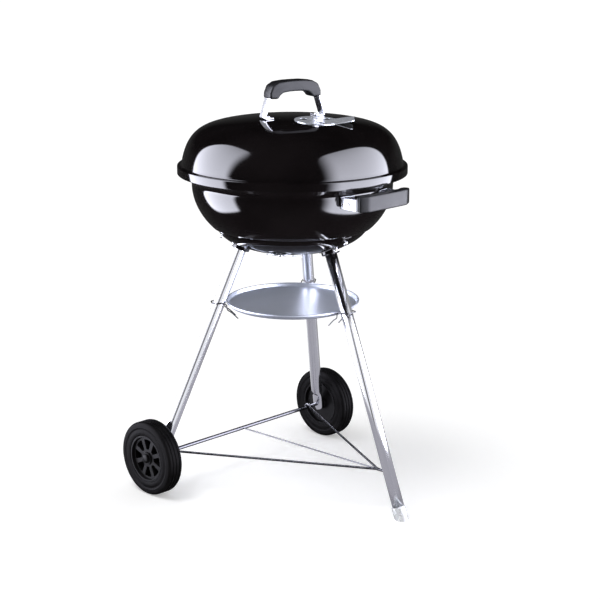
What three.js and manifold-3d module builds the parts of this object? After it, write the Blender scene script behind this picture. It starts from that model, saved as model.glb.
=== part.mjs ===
import * as THREE from "three";
import { mergeVertices } from "three/addons/utils/BufferGeometryUtils.js";
import Module from "manifold-3d";

const wasm = await Module();
wasm.setup();

// Driving dimensions in millimetres. While it is built, the kettle's axis is x = y = 0, the floor
// is z = 0, the leg with the foot cap stands on +X and the axle runs along Y.
const gap = 0.4; // clearance between neighbouring pieces
const sheet = 1.6; // enamelled steel wall
const rim = { radius: 238, top: 695.7, bottom: 678 };
const dome = { radius: 229.9, base: 684.8, height: 84.2, rise: 24, corner: 9.7, root: 1.7 };
const upperBowl = { radius: 208.4, top: 654.6, depth: 134.5, bulge: 0.751, drop: 1.078 };
const lowerBowl = { radius: 161.3, top: 578, depth: 65.2, bulge: 0.859, drop: 1.027 };
const ledge = { z: 567.3 }; // where the lower bowl meets the upper one
const bead = { radius: 230.4, z: 689.8, wire: 3.6 };
const lidHandle = {
  azimuth: 74.5,
  foot: 70,
  bolt: 57,
  shoulder: 55,
  width: 25,
  thickness: 2.5,
  top: 868.4,
  gripWidth: 32,
};
const lidDamper = {
  radius: 46,
  thickness: 2,
  offset: 67,
  azimuth: 3,
  tab: 45,
  reach: 76,
  rise: 12,
  vent: 8,
  ventRing: 28,
};
const sideHandle = {
  z: 650,
  arm: 69,
  front: 268,
  width: 22,
  thickness: 2.5,
  gripHeight: 32,
  bolt: 226,
  rivetAzimuth: 14,
};
const leg = { radius: 12.5, wall: 1.2, topRadius: 93.7, topZ: 567, startZ: 520.5, foot: 315.7 };
const axle = { x: -159, z: 79.3, radius: 4, legY: 239 };
const wheel = { radius: 79.3, width: 37.5, middle: 262.45, hub: 49.8, dish: 46.4 };
const tray = { radius: 141, top: 407.6, depth: 21 };
const grate = { radius: 200, z: 653, wire: 2.5, pitch: 28 };
const coalGrate = { radius: 160.5, z: 571.8, wire: 2.5, pitch: 30 };
const bowlDamper = {
  radius: 29,
  thickness: 1.6,
  offset: 92,
  tab: 14,
  reach: 46,
  vent: 6.5,
  ventRing: 16,
};
const bracket = { half: 20, inner: 96, outer: 157, collar: 20, lift: 3.4, spigot: 34 };
const rack = { wire: 2.5, rib: 1.6, y: 206, tipX: 245, tipZ: 91 };
const round = 28; // facets round the kettle
const smallRound = 12; // facets round a tube or rod

const looks = {
  enamel: { color: 0x060506, roughness: 0.06, metalness: 0 },
  nylon: { color: 0x2b2b30, roughness: 0.5, metalness: 0 },
  polished: { color: 0xd4d6da, roughness: 0.16, metalness: 1 },
  chrome: { color: 0xdcdde0, roughness: 0.08, metalness: 1 },
  trayMetal: { color: 0xa9b2bd, roughness: 0.32, metalness: 1 },
  wheelPlastic: { color: 0x111114, roughness: 0.42, metalness: 0 },
  clearPlastic: { color: 0xd9dde0, roughness: 0.3, metalness: 0 },
  wireSteel: { color: 0x8d8f94, roughness: 0.3, metalness: 1 },
};

const radians = THREE.MathUtils.degToRad;
const vec = (x, y, z) => new THREE.Vector3(x, y, z);
const flat = (x, y) => new THREE.Vector2(x, y);
const yAxis = vec(0, 1, 0);
const zAxis = vec(0, 0, 1);
const grill = new THREE.Group();

function add(name, geometry, look) {
  const mesh = new THREE.Mesh(geometry, new THREE.MeshStandardMaterial(looks[look]));
  mesh.name = name;
  grill.add(mesh);
  return mesh;
}

// ---- solids and booleans

function toSolid(geometry) {
  const bare = geometry.clone();
  bare.deleteAttribute("normal");
  bare.deleteAttribute("uv");
  const merged = mergeVertices(bare, 1e-4);
  return new wasm.Manifold(
    new wasm.Mesh({
      numProp: 3,
      vertProperties: merged.attributes.position.array,
      triVerts: Uint32Array.from(merged.index.array),
    }),
  );
}

function toGeometry(solid) {
  const mesh = solid.getMesh();
  const geometry = new THREE.BufferGeometry();
  geometry.setAttribute("position", new THREE.BufferAttribute(mesh.vertProperties, 3));
  geometry.setIndex(new THREE.BufferAttribute(mesh.triVerts, 1));
  geometry.computeVertexNormals();
  return geometry;
}

const join = (first, ...rest) =>
  toGeometry(rest.reduce((all, piece) => all.add(toSolid(piece)), toSolid(first)));
const cut = (first, ...rest) =>
  toGeometry(rest.reduce((all, piece) => all.subtract(toSolid(piece)), toSolid(first)));
const overlap = (first, second) => toGeometry(toSolid(first).intersect(toSolid(second)));

// ---- shapes

// Turns a closed profile of (radius, height) round Z, whichever way the profile is wound.
function turned(profile, segments = round) {
  const points = THREE.ShapeUtils.area(profile) < 0 ? [...profile].reverse() : profile;
  return new THREE.LatheGeometry(points, segments).rotateX(Math.PI / 2);
}

// Moves an open outline sideways by a wall thickness, mitred at its corners. Positive is to the
// left of the way the outline runs.
function beside(outline, thickness) {
  const sideways = outline.slice(1).map((point, i) => {
    const along = point.clone().sub(outline[i]).normalize();
    return flat(-along.y, along.x);
  });
  return outline.map((point, i) => {
    const before = sideways[Math.max(i - 1, 0)];
    const after = sideways[Math.min(i, sideways.length - 1)];
    const miter = before.clone().add(after).multiplyScalar(thickness / (1 + before.dot(after)));
    const moved = point.clone().add(miter);
    return flat(point.x === 0 ? 0 : moved.x, moved.y);
  });
}

function rod(from, to, radius, sides = smallRound) {
  const along = to.clone().sub(from);
  const turn = new THREE.Quaternion().setFromUnitVectors(yAxis, along.clone().normalize());
  const middle = from.clone().lerp(to, 0.5);
  return new THREE.CylinderGeometry(radius, radius, along.length(), sides)
    .applyQuaternion(turn)
    .translate(middle.x, middle.y, middle.z);
}

// A route through straight stretches and bends: its points are set, and an extrusion follows them.
class Route extends THREE.Curve {
  constructor(points) {
    super();
    this.points = points;
  }
  getPoint(t) {
    const place = t * (this.points.length - 1);
    const index = Math.min(Math.floor(place), this.points.length - 2);
    return this.points[index].clone().lerp(this.points[index + 1], place - index);
  }
  getPointAt(u) {
    return this.getPoint(u);
  }
  getTangentAt(u) {
    return this.getTangent(u);
  }
}

// Rounds the corners of a bent wire or strap.
function bent(corners, radius, steps = 3) {
  const points = [corners[0]];
  for (let i = 1; i < corners.length - 1; i += 1) {
    const into = corners[i - 1].clone().sub(corners[i]);
    const out = corners[i + 1].clone().sub(corners[i]);
    const start = corners[i].clone().addScaledVector(into.clone().normalize(), radius);
    const end = corners[i].clone().addScaledVector(out.clone().normalize(), radius);
    points.push(...new THREE.QuadraticBezierCurve3(start, corners[i], end).getPoints(steps));
  }
  points.push(corners[corners.length - 1]);
  return points;
}

function along(points, section) {
  const extrudePath = new Route(points);
  return new THREE.ExtrudeGeometry(section, { steps: points.length - 1, extrudePath });
}

function wire(points, radius, sides = 8) {
  const turns = Array.from({ length: sides }, (_, i) => (i * 2 * Math.PI) / sides);
  const ring = turns.map((a) => flat(radius * Math.cos(a), radius * Math.sin(a)));
  return along(points, new THREE.Shape(ring));
}

function strap(points, width, thickness) {
  const corners = [
    [-1, -1],
    [1, -1],
    [1, 1],
    [-1, 1],
  ].map(([x, y]) => flat((x * width) / 2, (y * thickness) / 2));
  return along(points, new THREE.Shape(corners));
}

function ringOf(radius, z, wireRadius) {
  const ring = Array.from({ length: 5 }, (_, i) => (i * 2 * Math.PI) / 5).map((a) =>
    flat(radius + wireRadius * Math.cos(a), z + wireRadius * Math.sin(a)),
  );
  return turned([...ring, ring[0]]);
}

// A slab with rounded edges, cut from an outline and standing on the plane z = 0.
function slab(outline, height, edge) {
  return new THREE.ExtrudeGeometry(new THREE.Shape(outline), {
    depth: height - 2 * edge,
    bevelThickness: edge,
    bevelSize: edge,
    bevelOffset: -edge,
    bevelSegments: 2,
    bevelEnabled: edge > 0,
  }).translate(0, 0, edge);
}

// A rivet or bolt along Z: the head's underside is at z = 0, the shank goes down.
function fastener(headRadius, headHeight, shankRadius, shankLength) {
  return turned(
    [
      flat(0, headHeight),
      flat(headRadius * 0.7, headHeight),
      flat(headRadius, 0),
      flat(shankRadius, 0),
      flat(shankRadius, -shankLength),
      flat(0, -shankLength),
    ],
    8,
  );
}

// Stands a Z-built shape on a point, with its Z along a direction.
function placed(geometry, point, direction, spin = 0) {
  const turn = new THREE.Quaternion().setFromUnitVectors(zAxis, direction.clone().normalize());
  return geometry
    .rotateZ(spin)
    .applyQuaternion(turn)
    .translate(point.x, point.y, point.z);
}

function drill(point, direction, radius, depth = 12) {
  const step = direction.clone().normalize().multiplyScalar(depth);
  return rod(point.clone().sub(step), point.clone().add(step), radius, 8);
}

const turnedTo = (degrees, point) => point.clone().applyAxisAngle(zAxis, radians(degrees));

// ---- the kettle's two curved shells

const lidHeight = (r) =>
  dome.base +
  dome.height * Math.max(0, 1 - (r / dome.radius) ** dome.corner) ** (1 / dome.root) +
  dome.rise * (1 - (r / dome.radius) ** 2);

function bowlPoint(part, t) {
  return flat(
    part.radius * Math.cos(t) ** part.bulge,
    part.top - part.depth * Math.sin(t) ** part.drop,
  );
}

// The angle at which a bowl curve passes a height.
const angleAt = (part, z) => Math.asin(((part.top - z) / part.depth) ** (1 / part.drop));

function bowlOutline() {
  const low = angleAt(lowerBowl, ledge.z);
  const high = angleAt(upperBowl, ledge.z);
  const outline = [flat(0, lowerBowl.top - lowerBowl.depth)];
  for (let i = 1; i <= 6; i += 1) {
    outline.push(bowlPoint(lowerBowl, Math.PI / 2 - (i / 6) * (Math.PI / 2 - low)));
  }
  for (let i = 0; i <= 6; i += 1) outline.push(bowlPoint(upperBowl, high * (1 - i / 6)));
  outline.push(flat(208.8, 661), flat(212.5, 667.5), flat(219, 673.5), flat(226.6, 681));
  return outline;
}

// A point on the lower bowl's outside and the way out of the wall there.
function onLowerBowl(radius, azimuth) {
  const t = Math.acos((radius / lowerBowl.radius) ** (1 / lowerBowl.bulge));
  const a = bowlPoint(lowerBowl, t - 0.02);
  const b = bowlPoint(lowerBowl, t + 0.02);
  const here = bowlPoint(lowerBowl, t);
  const normal = vec(a.y - b.y, 0, b.x - a.x);
  return {
    point: turnedTo(azimuth, vec(here.x, 0, here.y)),
    normal: turnedTo(azimuth, normal).normalize(),
  };
}

const bowlEnvelope = (offset) => {
  const outline = beside(bowlOutline().slice(0, -4), -offset);
  return turned([...outline, flat(0, outline[outline.length - 1].y)]);
};

// ---- legs and what they carry

// A point on a leg's axis at a height. Leg 0 has the foot cap; the others carry the wheels.
function onLeg(index, z) {
  const drop = (leg.topZ - z) / leg.topZ;
  if (index === 0) return vec(leg.topRadius + (leg.foot - leg.topRadius) * drop, 0, z);
  const side = index === 1 ? 1 : -1;
  const top = turnedTo(120 * side, vec(leg.topRadius, 0, leg.topZ));
  const low = vec(axle.x, axle.legY * side, axle.z);
  return top.lerp(low, (leg.topZ - z) / (leg.topZ - axle.z));
}

const legNames = ["front", "right", "left"];
const legAzimuth = [0, 120, -120];
const legDirection = (index) => onLeg(index, leg.topZ).sub(onLeg(index, axle.z)).normalize();
const socketRivets = [
  { name: "leg_bolt", radius: 125.3, head: 6.5 },
  { name: "leg_rivet", radius: 150, head: 5 },
];

function makeFrontLeg() {
  const from = onLeg(0, 8.1);
  const to = onLeg(0, leg.startZ);
  const bore = rod(from.clone().lerp(to, -0.1), from.clone().lerp(to, 1.1), leg.radius - leg.wall);
  add("leg_front", cut(rod(from, to, leg.radius), bore), "polished");

  const floorCut = new THREE.BoxGeometry(200, 200, 100).translate(leg.foot, 0, -50);
  const sleeve = rod(onLeg(0, -20), onLeg(0, 25), leg.radius + 1.9);
  const socket = rod(onLeg(0, 7.6), onLeg(0, 40), leg.radius + gap);
  add("foot_cap", cut(sleeve, floorCut, socket), "clearPlastic");
}

// A tube whose lower end is pressed flat and drilled for the axle.
function makeWheelLeg(index) {
  const pivot = onLeg(index, axle.z);
  const top = onLeg(index, leg.startZ);
  const upward = legDirection(index);
  const tip = -15.4;
  const length = top.distanceTo(pivot) - tip;
  const rings = [tip, -13, -8, 0, 12, 30, 37, 44, length + tip];
  const tube = new THREE.CylinderGeometry(1, 1, 1, smallRound, rings.length - 1);
  const place = tube.attributes.position;
  for (let i = 0; i < place.count; i += 1) {
    const ring = Math.round((place.getY(i) + 0.5) * (rings.length - 1));
    const height = rings[ring];
    const roundness = THREE.MathUtils.smoothstep(height, 28, 44);
    const rounding = height < 0 ? Math.sqrt(1 - (height / 16) ** 2) : 1;
    const wide = THREE.MathUtils.lerp(15 * rounding, leg.radius, roundness);
    const thick = THREE.MathUtils.lerp(4, leg.radius, roundness);
    place.setXYZ(i, place.getX(i) * wide, height, place.getZ(i) * thick);
  }
  const thin = yAxis.clone().addScaledVector(upward, -yAxis.dot(upward)).normalize();
  const basis = new THREE.Matrix4().makeBasis(upward.clone().cross(thin), upward, thin);
  tube.applyMatrix4(basis).translate(pivot.x, pivot.y, pivot.z);
  const hollowStart = pivot.clone().addScaledVector(upward, 52);
  const solid = cut(
    tube,
    rod(hollowStart, top.clone().addScaledVector(upward, 5), leg.radius - leg.wall, smallRound),
    drill(pivot, yAxis, axle.radius + gap, 30),
  );
  add(`leg_${legNames[index]}`, solid, "polished");
}

// A pressed bracket that hugs the bowl, with a spigot inside the leg tube.
function makeLegBracket(index) {
  const { half, inner, outer, collar, lift, spigot } = bracket;
  const upward = legDirection(index);
  const face = onLeg(index, leg.startZ).addScaledVector(upward, gap);
  const inside = face.clone().addScaledVector(upward, 40);
  const plug = rod(onLeg(index, leg.startZ - spigot), inside, leg.radius - leg.wall - gap);
  const flange = rod(face, inside, collar);
  const outline = [flat(inner, -half), flat(128, -half), flat(outer, 7 - half)];
  outline.push(...outline.map((p) => flat(p.x, -p.y)).reverse());
  const prism = slab(outline, 90, 0).translate(0, 0, 500).rotateZ(radians(legAzimuth[index]));
  const plate = overlap(prism, bowlEnvelope(lift));
  const seats = socketRivets.map((rivet) => ({
    ...rivet,
    ...onLowerBowl(rivet.radius, legAzimuth[index]),
  }));
  const holes = seats.map(({ point, normal }) => drill(point, normal, 3 + gap));
  const pockets = seats.map(({ point, normal, head }) => {
    const seat = point.clone().addScaledVector(normal, lift);
    return rod(seat, point.clone().addScaledVector(normal, 25), head + gap);
  });
  const body = cut(join(plug, flange, plate), bowlEnvelope(gap), ...holes, ...pockets);
  add(`leg_bracket_${legNames[index]}`, body, "enamel");
  for (const { name, head, point, normal } of seats) {
    const base = point.clone().addScaledVector(normal, lift + gap);
    const shape = placed(fastener(head, 3.2, 3, 9), base, normal);
    add(`${name}_${legNames[index]}`, shape, "chrome");
  }
}

function makeAxle() {
  const end = wheel.middle + 16.5;
  const from = vec(axle.x, -end, axle.z);
  add("axle", rod(from, vec(axle.x, end, axle.z), axle.radius, smallRound), "chrome");
}

// ---- wheels, built round Y with the outer face on +Y

function turnedOnY(profile, segments) {
  const points = THREE.ShapeUtils.area(profile) < 0 ? [...profile].reverse() : profile;
  return new THREE.LatheGeometry(points, segments);
}

function makeWheel(side, name) {
  const half = wheel.width / 2;
  const inner = wheel.hub + gap;
  const tyreProfile = [
    flat(inner, -half + 2),
    flat(60, -half),
    flat(71, -half),
    flat(77.4, -half + 2.4),
    flat(wheel.radius, -half + 6),
    flat(wheel.radius, half - 6),
    flat(77.4, half - 2.4),
    flat(71, half),
    flat(60, half),
    flat(inner, half - 2),
  ];
  const bore = axle.radius + gap;
  const hubProfile = [
    flat(bore, -12.5),
    flat(12, -12.5),
    flat(13, -10.5),
    flat(wheel.dish - 1, -10.5),
    flat(wheel.dish, -half + 1),
    flat(wheel.hub, -half + 1),
    flat(wheel.hub, half - 1.2),
    flat(wheel.dish, half - 1.2),
    flat(wheel.dish - 2, half - 7),
    flat(14, half - 7),
    flat(12.5, half - 3.6),
    flat(bore, half - 3.6),
  ];
  const window = [flat(19, -3.6), flat(41, -11.5), flat(41, 11.5), flat(19, 3.6)];
  const pockets = Array.from({ length: 8 }, (_, i) =>
    slab(window, 12, 0)
      .translate(0, 0, 5)
      .rotateX(-Math.PI / 2)
      .rotateY(i * (Math.PI / 4)),
  );
  const hub = cut(turnedOnY([...hubProfile, hubProfile[0]], round), ...pockets);
  const tyre = turnedOnY([...tyreProfile, tyreProfile[0]], round);
  const capProfile = [
    flat(0, half + 1.6),
    flat(6, half + 1.4),
    flat(9.6, half - 0.6),
    flat(10, half - 3.1),
    flat(bore, half - 3.1),
    flat(bore, half - 1),
    flat(0, half - 1),
  ];
  const cap = turnedOnY(capProfile, smallRound);
  const washer = [flat(bore, -16.2), flat(7.5, -16.2), flat(7.5, -13), flat(bore, -13)];
  const spacer = turnedOnY([...washer, washer[0]], smallRound);
  const pieces = [
    [`wheel_tyre_${name}`, tyre, "wheelPlastic"],
    [`wheel_hub_${name}`, hub, "wheelPlastic"],
    [`hub_cap_${name}`, cap, "wheelPlastic"],
    [`axle_washer_${name}`, spacer, "wireSteel"],
  ];
  for (const [label, geometry, look] of pieces) {
    const mesh = add(label, geometry, look);
    mesh.position.set(axle.x, side * wheel.middle, axle.z);
    if (side < 0) mesh.rotation.x = Math.PI;
  }
}

// ---- lid

const lidVentTurns = [-30, 90, 210];

function makeLid() {
  const steps = 11;
  const edge = dome.radius * 0.9968;
  const outline = [];
  for (let i = 0; i <= steps; i += 1) {
    const r = i === 0 ? 0 : edge * Math.sin((i / steps) * (Math.PI / 2));
    outline.push(flat(r, i === steps ? rim.top : lidHeight(r)));
  }
  outline.push(flat(rim.radius, rim.top), flat(rim.radius, rim.bottom));
  const shell = turned([...outline, ...beside(outline, -sheet).reverse()]);

  const seat = lidDamperSeat();
  const vents = lidVentTurns.map((turn) =>
    drill(onSeat(seat, lidDamper.ventRing, turn), seat.normal, lidDamper.vent),
  );
  const bolts = [1, -1].map((side) => drill(lidBolt(side), zAxis, 2.5 + gap));
  const body = cut(shell, ...vents, drill(seat.point, seat.normal, 3 + gap), ...bolts);
  add("lid_shell", body, "enamel");
}

// A point on a damper's seat, at a radius and a turn round its rivet.
function onSeat({ point, normal }, radius, turn) {
  const lean = new THREE.Quaternion().setFromUnitVectors(zAxis, normal);
  return turnedTo(turn, vec(radius, 0, 0)).applyQuaternion(lean).add(point);
}

// Where the damper turns on the lid, and the way out of the lid there.
function lidDamperSeat() {
  const slope = (-2 * dome.rise * lidDamper.offset) / dome.radius ** 2;
  return {
    point: turnedTo(
      lidDamper.azimuth,
      vec(lidDamper.offset, 0, lidHeight(lidDamper.offset)),
    ),
    normal: turnedTo(lidDamper.azimuth, vec(-slope, 0, 1)).normalize(),
  };
}

function makeLidDamper() {
  const seat = lidDamperSeat();
  const { radius, thickness, reach, rise, vent, ventRing } = lidDamper;
  const disc = new THREE.CylinderGeometry(radius, radius, thickness, 32)
    .rotateX(Math.PI / 2)
    .translate(0, 0, thickness / 2);
  const root = radius - 7;
  const tabOutline = [flat(0, -31), flat(reach - root - 6, -27), flat(reach - root, -20)];
  tabOutline.push(...tabOutline.map((p) => flat(p.x, -p.y)).reverse());
  const tab = slab(tabOutline, thickness, 0)
    .rotateY(-radians(rise))
    .translate(root, 0, 0)
    .rotateZ(radians(lidDamper.tab));
  const holes = lidVentTurns.map((turn) =>
    rod(vec(ventRing, 0, -2), vec(ventRing, 0, 6), vent).rotateZ(radians(turn)),
  );
  const body = cut(join(disc, tab), rod(vec(0, 0, -2), vec(0, 0, 6), 3 + gap, 12), ...holes);
  const base = seat.point.clone().addScaledVector(seat.normal, gap);
  add("lid_damper", placed(body, base, seat.normal), "trayMetal");

  const head = seat.point.clone().addScaledVector(seat.normal, thickness + 2 * gap);
  const rivet = placed(fastener(6, 2.6, 3, 8), head, seat.normal);
  add("lid_damper_rivet", rivet, "chrome");
}

// The handle's own frame: s runs along the handle, height is up.
const onHandle = (s, height) => turnedTo(lidHandle.azimuth, vec(s, 0, height));
const lidBolt = (side) => onHandle(side * lidHandle.bolt, lidHeight(lidHandle.bolt));

function lidStrapRoute() {
  const { foot, shoulder, thickness } = lidHandle;
  const rest = gap + thickness / 2;
  const half = [
    vec(foot - 20, 0, lidHeight(foot - 20) + rest),
    vec(foot, 0, lidHeight(foot) + rest),
    vec(shoulder, 0, 838),
    vec(shoulder - 8, 0, 855),
    vec(30, 0, 858),
  ];
  const mirrored = half.map((p) => vec(-p.x, 0, p.z)).reverse();
  return bent([...half, ...mirrored], 5, 2);
}

function makeLidHandle() {
  const { width, thickness, azimuth, top, gripWidth } = lidHandle;
  const turn = radians(azimuth);
  const route = lidStrapRoute();
  const holes = [1, -1].map((side) => drill(lidBolt(side), zAxis, 2.5 + gap));
  const bar = strap(route, width, thickness).rotateZ(turn);
  add("lid_handle_strap", cut(bar, ...holes), "polished");

  const outer = [flat(59.5, 833), flat(59, 845), flat(53, 859), flat(40, 866)];
  const inner = [flat(30, 844), flat(35, 839), flat(40, 832)];
  const mirrored = (points) => points.map((p) => flat(-p.x, p.y)).reverse();
  const outline = [...outer, flat(0, top), ...mirrored(outer), ...mirrored(inner), flat(0, 846), ...inner];
  const block = slab(outline, gripWidth, 4)
    .translate(0, 0, -gripWidth / 2)
    .rotateX(Math.PI / 2)
    .rotateZ(turn);
  const channel = strap(route, width + 2 * gap, thickness + 2 * gap).rotateZ(turn);
  add("lid_handle_grip", cut(block, channel), "nylon");

  for (const [side, name] of [
    [1, "right"],
    [-1, "left"],
  ]) {
    const bolt = fastener(5, 3.4, 2.5, 11);
    const seat = lidBolt(side);
    seat.z += thickness + 2.2 * gap;
    add(`lid_handle_bolt_${name}`, bolt.translate(seat.x, seat.y, seat.z), "chrome");
  }
}

// ---- bowl

const ventAzimuths = [60, 180, 300];
const bowlVentTurns = [0, 120, 240];

// Where a rivet holds the side handle's foot on the bowl.
function sideRivet(side) {
  const out = turnedTo(side * sideHandle.rivetAzimuth, vec(1, 0, 0));
  return { point: out.clone().multiplyScalar(upperBowl.radius).setZ(sideHandle.z), out };
}

function makeBowl() {
  const outer = bowlOutline();
  const inner = beside(outer, sheet);
  const lip = [];
  for (let i = 0; i <= 5; i += 1) {
    const a = radians(-100 + (i / 5) * 285);
    lip.push(flat(bead.radius + bead.wire * Math.cos(a), bead.z + bead.wire * Math.sin(a)));
  }
  const shell = turned([...outer, ...lip, ...inner.reverse()]);
  const holes = [];
  for (const azimuth of legAzimuth) {
    for (const { radius } of socketRivets) {
      const { point, normal } = onLowerBowl(radius, azimuth);
      holes.push(drill(point, normal, 3 + gap));
    }
  }
  for (const azimuth of ventAzimuths) {
    const seat = onLowerBowl(bowlDamper.offset, azimuth);
    holes.push(drill(seat.point, seat.normal, 2.5 + gap));
    for (const turn of bowlVentTurns) {
      holes.push(drill(onSeat(seat, bowlDamper.ventRing, turn), seat.normal, bowlDamper.vent));
    }
  }
  for (const side of [1, -1]) {
    const { point, out } = sideRivet(side);
    holes.push(drill(point, out, 2.5 + gap));
  }
  add("bowl_shell", cut(shell, ...holes), "enamel");
}

function makeBowlDampers() {
  ventAzimuths.forEach((azimuth, i) => {
    const seat = onLowerBowl(bowlDamper.offset, azimuth);
    const { radius, thickness, tab, reach, vent, ventRing } = bowlDamper;
    const disc = rod(vec(0, 0, 0), vec(0, 0, thickness), radius, 24);
    const lug = new THREE.BoxGeometry(reach - 20, tab, thickness)
      .translate((reach + 20) / 2, 0, thickness / 2);
    const holes = bowlVentTurns.map((turn) =>
      rod(vec(ventRing, 0, -2), vec(ventRing, 0, 4), vent, 12).rotateZ(radians(turn)),
    );
    const middle = rod(vec(0, 0, -2), vec(0, 0, 4), 2.5 + gap, 12);
    const body = cut(join(disc, lug), middle, ...holes);
    const base = seat.point.clone().addScaledVector(seat.normal, gap);
    add(`bowl_damper_${i + 1}`, placed(body, base, seat.normal), "trayMetal");
    const head = seat.point.clone().addScaledVector(seat.normal, thickness + 2 * gap);
    const rivet = placed(fastener(5, 2.2, 2.5, 7), head, seat.normal);
    add(`bowl_damper_rivet_${i + 1}`, rivet, "chrome");
  });
}

// Four ledges inside the bowl carry the cooking grate.
function makeGrateSupports() {
  for (let i = 0; i < 4; i += 1) {
    const shelf = new THREE.BoxGeometry(15, 16, 2).translate(195.9, 0, grate.z - 3.9);
    const back = new THREE.BoxGeometry(2, 16, 8).translate(202.4, 0, grate.z - 6.9);
    const tab = join(shelf, back).rotateZ(radians(45 + 90 * i));
    add(`grate_support_${i + 1}`, tab, "wireSteel");
  }
}

// A ring with parallel bars laid on it and two bars under them.
function makeGrate(name, { radius, z, wire: wireRadius, pitch }, lift) {
  const bars = [];
  const count = Math.floor((radius - 6) / pitch);
  for (let i = -count; i <= count; i += 1) {
    const reach = Math.sqrt(radius ** 2 - (i * pitch) ** 2);
    bars.push(rod(vec(-reach, i * pitch, z + lift), vec(reach, i * pitch, z + lift), 1.9, 4));
  }
  for (const x of [-0.45 * radius, 0.45 * radius]) {
    const reach = Math.sqrt(radius ** 2 - x ** 2);
    bars.push(rod(vec(x, -reach, z), vec(x, reach, z), wireRadius, 6));
  }
  add(name, join(ringOf(radius, z, wireRadius), ...bars), "wireSteel");
}

// ---- side handle: a bent strap with a moulded grip in front

function sideStrapRoute() {
  const { z, arm, thickness, front, rivetAzimuth } = sideHandle;
  const wallOut = upperBowl.radius + gap + thickness / 2 + 0.5;
  const footEnd = turnedTo(rivetAzimuth - 4.5, vec(wallOut + 0.6, 0, z));
  const heel = vec(Math.sqrt(wallOut ** 2 - arm ** 2) + 1.2, arm, z);
  const depth = front - 11;
  const half = [footEnd, heel, vec(depth - 9, arm, z), vec(depth, arm - 14, z)];
  return bent([...half, ...half.map((p) => vec(p.x, -p.y, p.z)).reverse()], 4);
}

function makeSideHandle() {
  const { z, arm, front, width, thickness, gripHeight, bolt } = sideHandle;
  const route = sideStrapRoute();
  const armBolt = (side) => vec(bolt, side * arm, z);
  const holes = [1, -1].flatMap((side) => {
    const { point, out } = sideRivet(side);
    return [drill(point, out, 2.5 + gap), drill(armBolt(side), yAxis, 2.5 + gap, 8)];
  });
  add("side_handle_bracket", cut(strap(route, width, thickness), ...holes), "polished");

  const half = [
    flat(front - 19, 48),
    flat(front - 23, 55),
    flat(front - 22.5, 68),
    flat(front - 10, 73),
    flat(front, 55),
  ];
  const other = half.map((p) => flat(p.x, -p.y)).reverse();
  const outline = [...half, flat(front + 1.5, 0), ...other].reverse();
  const block = slab(outline, gripHeight, 4).translate(0, 0, z + 3.5 - gripHeight / 2);
  const channel = strap(route, width + 2 * gap, thickness + 2 * gap);
  add("side_handle_grip", cut(block, channel), "nylon");

  for (const [side, name] of [
    [1, "right"],
    [-1, "left"],
  ]) {
    const { point, out } = sideRivet(side);
    const head = point.clone().addScaledVector(out, thickness + 2 * gap + 1);
    const rivet = placed(fastener(5, 2.4, 2.5, 8), head, out);
    add(`side_handle_rivet_${name}`, rivet, "chrome");
    const outside = armBolt(side).add(vec(0, side * (thickness / 2 + gap), 0));
    const armBoltShape = placed(fastener(4.5, 2.6, 2.5, 8), outside, vec(0, side, 0));
    add(`side_handle_bolt_${name}`, armBoltShape, "chrome");
  }
}

// ---- ash tray, its clips and the wire rack

function makeTray() {
  const { radius, top, depth } = tray;
  const outline = [
    flat(0, top - depth - 2),
    flat(70, top - depth - 1.4),
    flat(104, top - depth + 2.6),
    flat(126, top - 12.5),
    flat(135, top - 10),
    flat(radius - 3, top - 3),
  ];
  const inner = beside(outline, 1.4);
  const lip = [-60, 0, 60, 120, 170].map((a) =>
    flat(
      radius - 2.2 + 2.2 * Math.cos(radians(a)),
      top - 2.2 + 2.2 * Math.sin(radians(a)),
    ),
  );
  add("ash_tray", turned([...outline, ...lip, ...inner.reverse()]), "trayMetal");
}

function makeTrayClips() {
  const wireRadius = 1.25;
  const side = leg.radius + gap + wireRadius + 0.5;
  const height = tray.top + 1;
  legNames.forEach((name, index) => {
    const centre = onLeg(index, height);
    const legRadius = Math.hypot(centre.x, centre.y);
    const behind = legRadius + leg.radius / 0.93 + wireRadius + gap + 1.4;
    const half = [
      vec(120, side, tray.top - 33),
      vec(134, side, tray.top - 19),
      vec(tray.radius + 2.8, side, tray.top - 13),
      vec(tray.radius + 2.8, side, height - 2),
      vec(legRadius, side, height),
      vec(behind, side - 2, height),
    ];
    const route = bent([...half, ...half.map((p) => vec(p.x, -p.y, p.z)).reverse()], 5, 2);
    const azimuth = Math.atan2(centre.y, centre.x);
    add(`tray_clip_${name}`, wire(route, wireRadius, 5).rotateZ(azimuth), "wireSteel");
  });
}

// Two wires hook over the axle and meet at the front leg, with a thin rib between them.
function makeRack() {
  const { wire: wireRadius, rib, y, tipX, tipZ } = rack;
  const hook = axle.radius + gap + wireRadius + 0.3;
  const turns = [180, 135, 90, 45, 0].map(radians);
  const arm = (side, radius) => {
    const over = turns.map((a) =>
      vec(axle.x + hook * Math.cos(a), side * y, axle.z + hook * Math.sin(a)),
    );
    const end = onLeg(0, tipZ);
    return wire(
      [...over, vec(tipX, side * 2, tipZ), vec(end.x - leg.radius - 2.5, 0, tipZ)],
      radius,
    );
  };
  const start = vec(axle.x + axle.radius + gap + rib + 0.3, 0, axle.z);
  const middle = wire([start, vec(tipX + 4, 0, tipZ)], rib, 6);
  add("wire_rack", join(arm(1, wireRadius), arm(-1, wireRadius), middle), "wireSteel");
}

makeLid();
makeLidDamper();
makeLidHandle();
makeBowl();
makeBowlDampers();
makeSideHandle();
makeGrateSupports();
makeGrate("cooking_grate", grate, 3);
makeGrate("charcoal_grate", coalGrate, 3);
makeFrontLeg();
makeWheelLeg(1);
makeWheelLeg(2);
for (const index of [0, 1, 2]) makeLegBracket(index);
makeAxle();
makeWheel(1, "right");
makeWheel(-1, "left");
makeTray();
makeTrayClips();
makeRack();

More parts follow.
